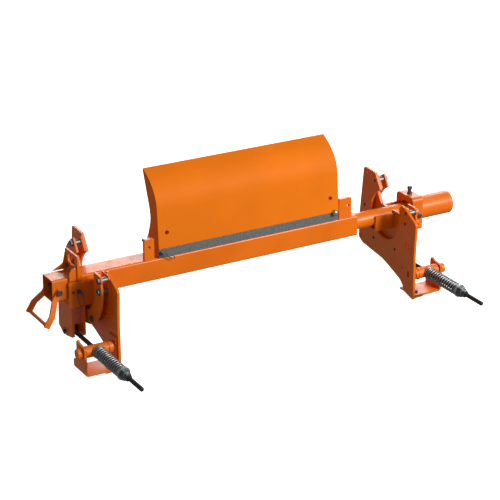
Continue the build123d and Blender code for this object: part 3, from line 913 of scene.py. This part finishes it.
@dataclass
class Station(Assembly):
    """The mounting plate, rings, disc and bolts that one end of the tube turns in."""

    side: Side = Side.LEFT
    washer_hole: float = 8.4 * MM
    washer_radius: float = 16.2 * MM
    washer_thick: float = 1.6 * MM

    def build(self) -> None:
        """Builds the station of one side."""
        word = self.side.word
        for node in ("mounting_plate", "guide_ring", "retaining_ring", "hub_disc", "spring_bracket"):
            self.round_off(f"{word}_{node}", Finishes.ENAMEL, 1.1 * MM)
        self.round_off(f"{word}_ring_bolts", Finishes.BOLT, 1.1 * MM)
        self.round_off(f"{word}_ring_spacers", Finishes.SPACER, 1.0 * MM)
        self.washers()

    def washers(self) -> None:
        """Lays a washer under each ring bolt's head, on the outer ring."""
        ring = Box.of(f"{self.side.word}_retaining_ring")
        face = ring.high.x if self.side is Side.RIGHT else ring.low.x
        hole, rim, thick = self.washer_hole, self.washer_radius, self.washer_thick
        profile = [
            (hole, 0.0),
            (rim - 0.7 * MM, 0.0),
            (rim, 0.5 * MM),
            (rim - 0.4 * MM, thick),
            (hole, thick),
        ]
        for i, bolt in enumerate(solids(f"{self.side.word}_ring_bolts")):
            centre = Vector((face, bolt.centre.y, bolt.centre.z))
            mesh = turned(centre, Axis.X, profile, 32, self.side.value)
            self.place(f"{self.side.word}_ring_washer_{i}", mesh, "mount_frame", Finishes.ZINC)


@dataclass
class Tensioner(Assembly):
    """The rod, spring, washers, nuts and cross tube of one side."""

    side: Side = Side.LEFT
    turns: float = 14.0
    wire: float = 7.6 * MM
    squash_travel: float = 39.5 * MM
    steps_per_turn: int = 30
    closed_turns: float = 1.0
    thread_pitch: float = 2.5 * MM
    thread_depth: float = 0.9 * MM
    thread_sides: int = 20
    thread_steps: int = 5
    tip_chamfer: float = 2.0 * MM

    def build(self) -> None:
        """Builds the tensioner of one side."""
        word = self.side.word
        self.round_off(f"{word}_trunnion", Finishes.ENAMEL, 1.2 * MM)
        self.round_off(f"{word}_seat_washer", Finishes.ZINC, 1.0 * MM)
        self.round_off(f"{word}_end_washer", Finishes.ZINC, 1.0 * MM)
        self.round_off(f"{word}_adjusting_nut", Finishes.BOLT, 2.0 * MM)
        self.round_off(f"{word}_lock_washer", Finishes.ZINC, 0.7 * MM)
        self.round_off(f"{word}_lock_nut", Finishes.BOLT, 2.0 * MM)
        self.rod()
        self.spring()

    def rod(self) -> None:
        """Keeps the rod's eye and smooth shank and cuts the thread on its outer part."""
        node = f"{self.side.word}_tension_rod"
        rod, seat = Box.of(node), Box.of(f"{self.side.word}_seat_washer")
        nut = Box.of(f"{self.side.word}_adjusting_nut")
        start = seat.low.y - 8 * MM
        eye = rounded_copy(node, 1.0 * MM)
        bmesh.ops.bisect_plane(
            eye,
            geom=[*eye.verts, *eye.edges, *eye.faces],
            plane_co=(0, start, 0),
            plane_no=(0, -1, 0),
            clear_outer=True,
        )
        bmesh.ops.holes_fill(eye, edges=[e for e in eye.edges if e.is_boundary])
        body = f"{self.side.word}_rod"
        self.place(f"{node}_shown", eye, body, Finishes.ROD, [node])
        radius = self.shank_radius(rod, node)
        middle = Vector((rod.centre.x, 0, nut.centre.z))
        cut = self.thread(middle, start + 0.5 * MM, rod.low.y, radius)
        self.place(f"{node}_thread", cut, body, Finishes.ROD)

    @staticmethod
    def shank_radius(rod: Box, node: str) -> float:
        """The radius of the rod's outer end, read from its mesh."""
        tip = [v.co for v in frame["nodes"][node].data.vertices if v.co.y < rod.low.y + 20 * MM]
        return (max(co.x for co in tip) - min(co.x for co in tip)) / 2

    def thread(self, middle: Vector, start: float, end: float, radius: float) -> bmesh.types.BMesh:
        """Cuts a screw thread from start to end along -Y.

        Args:
            middle: a point on the rod's line.
            start: where the thread starts, nearest the eye.
            end: the rod's free end.
            radius: the thread's outer radius.

        Returns:
            The threaded length, closed at both ends with a small chamfer.
        """
        sides = self.thread_sides
        count = int((start - end) / (self.thread_pitch / self.thread_steps))
        rings = []
        for i in range(count + 1):
            far = (start - end) * i / count
            chamfer = max(0.0, self.tip_chamfer - (start - end - far))
            ring = []
            for k in range(sides):
                phase = (far / self.thread_pitch - k / sides) % 1.0
                depth = self.thread_depth * abs(2 * phase - 1)
                size = radius - max(depth, chamfer)
                turn = math.tau * k / sides
                across, up = size * math.cos(turn), size * math.sin(turn)
                ring.append(Vector((middle.x + across, start - far, middle.z + up)))
            rings.append(ring)
        return skinned(rings)

    def spring(self) -> None:
        """Winds the coil spring with closed, ground ends."""
        node = f"{self.side.word}_spring"
        sleeve = Box.of(node)
        wire = self.wire / 2
        mean = sleeve.size.x / 2 - wire
        long = sleeve.size.y
        per_turn, closed = self.steps_per_turn, self.closed_turns
        total = int(self.turns * per_turn)
        open_pitch = (long - 2 * wire - 2 * closed * self.wire) / (self.turns - 2 * closed)
        rings = []
        for i in range(total + 1):
            turn = i / per_turn
            far = wire + min(turn, closed) * self.wire
            far += max(0.0, min(turn, self.turns - closed) - closed) * open_pitch
            far += max(0.0, turn - (self.turns - closed)) * self.wire
            angle = math.tau * turn
            out = Vector((math.cos(angle), 0, math.sin(angle)))
            spot = Vector((sleeve.centre.x, sleeve.high.y - far, sleeve.centre.z)) + out * mean
            ring = []
            for k in range(HELIX_SIDES):
                point = spot + around(out, Axis.Y.vector, math.tau * k / HELIX_SIDES) * wire
                point.y = min(max(point.y, sleeve.low.y), sleeve.high.y)
                ring.append(point)
            rings.append(ring)
        body = f"{self.side.word}_trunnion"
        piece = self.place(f"{node}_coil", skinned(rings), body, Finishes.SPRING, [node])
        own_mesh(piece)


@dataclass
class LeverEnd(Assembly):
    """The cradle and lever plates that one spring pulls on."""

    side: Side = Side.LEFT
    inset: float = 12 * MM
    bead: float = 2.8 * MM

    def build(self) -> None:
        """Builds the lever end of one side."""
        word = self.side.word
        self.round_off(f"{word}_cradle", Finishes.ENAMEL, 1.2 * MM)
        self.round_off(f"{word}_lever_plates", Finishes.ENAMEL, 1.2 * MM)
        self.lever_welds()

    def lever_welds(self) -> None:
        """Welds each lever plate along its foot, under the cradle."""
        floor = Box.of(f"{self.side.word}_cradle").low.z
        for i, plate in enumerate(solids(f"{self.side.word}_lever_plates")):
            for j, x in enumerate((plate.low.x, plate.high.x)):
                path = [
                    Vector((x, plate.low.y + self.inset, floor)),
                    Vector((x, plate.high.y - self.inset, floor)),
                ]
                self.weld(f"{self.side.word}_lever_weld_{i}_{j}", "mainframe", path, self.bead)


@dataclass
class LeverPins(Assembly):
    """The pins through the lever plates and rod eyes, with split pins in their ends."""

    wire: float = 1.5 * MM

    def build(self) -> None:
        """Builds the pins of both sides."""
        self.round_off("lever_pins", Finishes.BOLT, 1.2 * MM)
        for i, box in enumerate(solids("lever_split_pins")):
            self.split_pin(i, box)

    def split_pin(self, number: int, box: Box) -> None:
        """Bends one split pin: an eye on top and two legs that spread below."""
        top = box.high.z - 5 * MM
        spread = min(box.size.y / 2 - self.wire, 4 * MM)
        eye = arc(
            Vector((box.centre.x, box.centre.y, top)), Axis.Y.vector, Axis.Z.vector, spread, -60, 240, 18
        )
        legs = []
        for sign in (1, -1):
            leg = [
                Vector((box.centre.x, box.centre.y + sign * 1.2 * MM, top - 7 * MM)),
                Vector((box.centre.x, box.centre.y + sign * 1.2 * MM, box.low.z + 9 * MM)),
                Vector((box.centre.x, box.centre.y + sign * spread, box.low.z + self.wire)),
            ]
            legs.append(leg)
        path = list(reversed(legs[0])) + eye + legs[1]
        names = ["lever_split_pins"] if number == 0 else []
        mesh = swept(path, self.wire, 8)
        self.place(f"lever_split_pin_{number}", mesh, "mainframe", Finishes.BOLT, names)


@dataclass
class HandleEnd(Assembly):
    """The yoke, the bail handle and the lock pin at the left end."""

    wire: float = 1.7 * MM
    ring_width: float = 25 * MM
    yoke_plate: float = 8 * MM
    yoke_plate_at: float = 0.767
    yoke_inset: float = 8 * MM
    yoke_bead: float = 2.8 * MM
    ring_tilt: float = math.radians(-8)

    def build(self) -> None:
        """Builds the left end."""
        self.round_off("left_yoke", Finishes.ENAMEL, 1.2 * MM)
        self.round_off("yoke_bolts", Finishes.BOLT, 0.9 * MM)
        self.round_off("bail_handle", Finishes.ENAMEL, 1.3 * MM)
        self.round_off("handle_bolts", Finishes.BOLT, 1.2 * MM)
        self.round_off("lock_pin", Finishes.BOLT, 1.0 * MM)
        self.ring_clip()
        self.yoke_welds()

    def ring_clip(self) -> None:
        """Bends the lock pin's hanging ring clip."""
        box = Box.of("lock_pin_clip")
        radius = self.ring_width / 2 - self.wire
        run = box.size.z / 2 - radius - self.wire - 1 * MM
        up = Vector((math.sin(self.ring_tilt), 0, math.cos(self.ring_tilt)))
        side = Vector((math.cos(self.ring_tilt), 0, -math.sin(self.ring_tilt)))
        path = arc(box.centre + up * run, side, up, radius, 0, 180, 16)
        path += arc(box.centre - up * run, side, up, radius, 180, 360, 16)
        mesh = swept(path, self.wire, 10, closed=True)
        self.place("lock_pin_clip_shown", mesh, "lock_pin", Finishes.BOLT, ["lock_pin_clip"])

    def yoke_welds(self) -> None:
        """Welds the yoke's foot to the top of the tube, on both faces of its plate."""
        yoke, tube = Box.of("left_yoke"), Box.of("main_tube")
        plate = yoke.low.x + yoke.size.x * self.yoke_plate_at
        ends = (tube.low.y + self.yoke_inset, tube.high.y - self.yoke_inset)
        for i, x in enumerate((plate, plate + self.yoke_plate)):
            path = [Vector((x, y, tube.high.z)) for y in ends]
            self.weld(f"yoke_weld_{i}", "mainframe", path, self.yoke_bead)


@dataclass
class SaddleEnd(Assembly):
    """The saddle, stop channel and jack bolt at the right end."""

    bead: float = 3.2 * MM
    bead_steps: int = 60

    def build(self) -> None:
        """Builds the right end."""
        self.round_off("right_saddle", Finishes.ENAMEL, 1.4 * MM)
        self.round_off("right_stop_channel", Finishes.ENAMEL, 1.0 * MM)
        self.round_off("saddle_bolts", Finishes.BOLT, 1.1 * MM)
        self.round_off("jack_bolt", Finishes.BOLT, 1.0 * MM)
        self.round_off("jack_nut", Finishes.BOLT, 1.2 * MM)
        self.pipe_weld()

    def pipe_weld(self) -> None:
        """Welds the round pipe to the saddle's outer face."""
        saddle, pipe = Box.of("right_saddle"), Box.of("end_pipe")
        spot = Vector((saddle.high.x + 0.5 * MM, pipe.centre.y, pipe.centre.z))
        reach = pipe.size.z / 2 + 1 * MM
        ring = arc(spot, Axis.Y.vector, Axis.Z.vector, reach, 0, 360, self.bead_steps)
        self.weld("pipe_weld", "mainframe", ring, self.bead)


@dataclass
class BracketBolts(Assembly):
    """The bolts that hold the spring brackets to the plates' feet."""

    def build(self) -> None:
        """Builds the bracket bolts."""
        self.round_off("bracket_bolts", Finishes.BOLT, 1.2 * MM)


@dataclass
class Softbox:
    """One large soft lamp that points at the middle of the object."""

    name: str
    spot: tuple[float, float, float]
    width: float
    height: float
    power: float

    def build(self, target: Vector) -> None:
        """Hangs the lamp.

        Args:
            target: the point that the lamp faces.
        """
        data = bpy.data.lights.new(self.name, "AREA")
        data.shape = "RECTANGLE"
        data.size, data.size_y, data.energy = self.width, self.height, self.power
        lamp = bpy.data.objects.new(self.name, data)
        bpy.context.scene.collection.objects.link(lamp)
        lamp.location = Vector(self.spot)
        lamp.rotation_euler = (target - lamp.location).to_track_quat("-Z", "Y").to_euler()
        LOG.info("%s: %.0f W", self.name, self.power)


@dataclass
class Studio:
    """The pale floor, the soft lamps and the camera."""

    azimuth: float = -30.04
    elevation: float = 22.52
    roll: float = 0.09
    distance: float = 8.1107
    aside: float = -0.02055
    rise: float = 0.0211
    lens: float = 131.13
    clip_end: float = 400.0
    floor_half: float = 60.0
    floor_gap: float = 2 * MM
    daylight: float = 0.23
    floor_glow: float = 0.90
    lamps: tuple[Softbox, ...] = (
        Softbox("key_lamp", (3.6, -5.6, 3.6), 2.4, 2.4, 560.0),
        Softbox("back_lamp", (3.7, 6.4, 3.1), 8.0, 3.0, 430.0),
    )

    def build(self) -> None:
        """Sets the stage."""
        low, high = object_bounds()
        self.floor(low.z)
        for lamp in self.lamps:
            lamp.build((low + high) / 2)
        self.sky()
        self.camera()
        bpy.context.scene.view_settings.view_transform = "Standard"

    def floor(self, height: float) -> None:
        """Lays a pale floor just under the object.

        Args:
            height: the object's lowest point.
        """
        mesh = bmesh.new()
        bmesh.ops.create_grid(mesh, x_segments=8, y_segments=8, size=self.floor_half)
        data = bpy.data.meshes.new("studio_floor")
        mesh.to_mesh(data)
        mesh.free()
        shader = Shader("pale_floor")
        cloud = shader.noise(1.5, 2.0)
        colour = shader.blend(cloud, (0.88, 0.88, 0.88), (0.92, 0.92, 0.92))
        material = shader.finish(colour, 0.65 + cloud * 0.1, cloud, relief=0.01 * MM)
        shader.surface.inputs["Emission Color"].default_value = WHITE
        shader.surface.inputs["Emission Strength"].default_value = self.floor_glow
        data.materials.append(material)
        floor = bpy.data.objects.new("studio_floor", data)
        bpy.context.scene.collection.objects.link(floor)
        floor.location.z = height - self.floor_gap
        floor.visible_diffuse = False
        floor.visible_glossy = False
        floor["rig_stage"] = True

    def sky(self) -> None:
        """Fills the room with even light."""
        world = bpy.data.worlds.new("studio")
        world.use_nodes = True
        light = world.node_tree.nodes["Background"]
        light.inputs["Color"].default_value = WHITE
        light.inputs["Strength"].default_value = self.daylight
        bpy.context.scene.world = world

    def camera(self) -> None:
        """Stands the camera at its angle, looking at the belt's centre."""
        turn, tilt = math.radians(self.azimuth), math.radians(self.elevation)
        reach = math.cos(tilt)
        back = Vector((math.sin(turn) * reach, -math.cos(turn) * reach, math.sin(tilt)))
        right = Vector((math.cos(turn), math.sin(turn), 0))
        up = back.cross(right)
        data = bpy.data.cameras.new("camera")
        data.lens = self.lens
        data.clip_end = self.clip_end
        camera = bpy.data.objects.new("camera", data)
        bpy.context.scene.collection.objects.link(camera)
        spot = back * self.distance - right * self.aside - up * self.rise
        facing = Matrix((right, up, back)).transposed().to_4x4()
        rolled = Matrix.Rotation(math.radians(self.roll), 4, "Z")
        camera.matrix_world = Matrix.Translation(spot) @ facing @ rolled
        bpy.context.scene.camera = camera


def main() -> None:
    """Builds the scene in order."""
    logging.basicConfig(level=logging.INFO, format="%(name)s: %(message)s")
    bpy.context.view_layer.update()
    groups: list[Assembly] = [Crossbar(), Scraper()]
    for side in Side:
        groups += [Station(side=side), Tensioner(side=side), LeverEnd(side=side)]
    groups += [LeverPins(), BracketBolts(), HandleEnd(), SaddleEnd()]
    for group in groups:
        group.build()
        LOG.info("%s: %d pieces", type(group).__name__, len(group.made))
    Studio().build()


if __name__ == "__main__":
    main()
